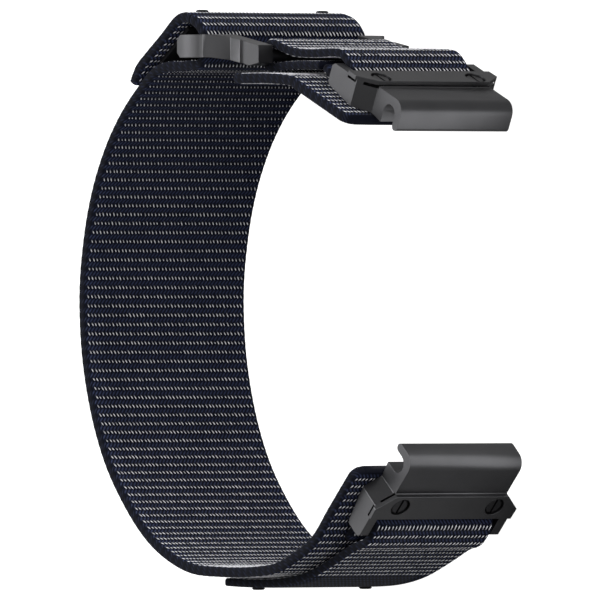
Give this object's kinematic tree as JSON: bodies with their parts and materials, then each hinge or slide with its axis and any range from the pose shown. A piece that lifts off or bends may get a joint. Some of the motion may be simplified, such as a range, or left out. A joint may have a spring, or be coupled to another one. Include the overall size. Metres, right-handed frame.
{
  "type": "fitness tracker band",
  "caption": "Woven nylon hook-and-loop wrist band closed through a metal ring, with sprung quick-release hooks for a tracker.",
  "frame": {"origin": "middle of the base of the box round the band as it lies on its side, at the ring's lower end", "axes": "+Z along the forearm, up as the band lies on its side; +X towards the gap that the tracker fills; +Y towards the ring and the folded tail"},
  "size_m": [0.0536, 0.0626, 0.0248],
  "materials": {
    "woven_nylon": "dark navy woven nylon with rows of light grey dashes",
    "black_tape": "black hook tape and stitching",
    "coated_steel": "satin dark grey coated metal",
    "screw_steel": "satin dark grey coated screw heads",
    "spring_steel": "bright spring wire"
  },
  "bodies": {
    "band": {"main_band": "woven_nylon", "upper_lining": "woven_nylon", "lower_webbing": "woven_nylon", "upper_webbing": "woven_nylon", "lower_tack_near": "black_tape", "lower_tack_far": "black_tape"},
    "tail": {"tail": "woven_nylon", "hook_patch": "black_tape", "fold_tack_near": "black_tape", "fold_tack_far": "black_tape"},
    "ring": {"ring": "coated_steel"},
    "upper_connector": {"upper_frame": "coated_steel", "upper_plate": "coated_steel", "upper_screw_near": "screw_steel", "upper_screw_far": "screw_steel", "upper_spring_near": "spring_steel", "upper_spring_far": "spring_steel"},
    "upper_latch": {"upper_latch": "coated_steel"},
    "lower_connector": {"lower_frame": "coated_steel", "lower_plate": "coated_steel", "lower_screw_near": "screw_steel", "lower_screw_far": "screw_steel", "lower_spring_near": "spring_steel", "lower_spring_far": "spring_steel"},
    "lower_latch": {"lower_latch": "coated_steel"}
  },
  "joints": [
    {"name": "upper_connector_tilt", "type": "hinge", "parent": "band", "child": "upper_connector", "pos_m": [0.01602, 0.02373, 0.0124], "axis": [0, 0, 1], "range_deg": [0, 12]},
    {"name": "upper_latch_slide", "type": "slide", "parent": "upper_connector", "child": "upper_latch", "axis": [-0.9171, 0.3987, 0], "range_m": [0, 0.0012], "stiffness_N_per_m": 200, "springref_m": -0.0008, "deforming": ["upper_spring_near", "upper_spring_far"]},
    {"name": "lower_connector_tilt", "type": "hinge", "parent": "band", "child": "lower_connector", "pos_m": [0.01966, -0.02385, 0.0124], "axis": [0, 0, -1], "range_deg": [0, 12]},
    {"name": "lower_latch_slide", "type": "slide", "parent": "lower_connector", "child": "lower_latch", "axis": [-0.6858, -0.7278, 0], "range_m": [0, 0.0012], "stiffness_N_per_m": 200, "springref_m": -0.0008, "deforming": ["lower_spring_near", "lower_spring_far"]},
    {"name": "ring_swing", "type": "hinge", "parent": "band", "child": "ring", "pos_m": [0.00307, 0.02618, 0.0124], "axis": [0, 0, -1], "range_deg": [0, 2]},
    {"name": "tail_peel", "type": "hinge", "parent": "band", "child": "tail", "pos_m": [-0.00689, 0.03053, 0.0124], "axis": [0, 0, -1], "range_deg": [0, 60]}
  ]
}
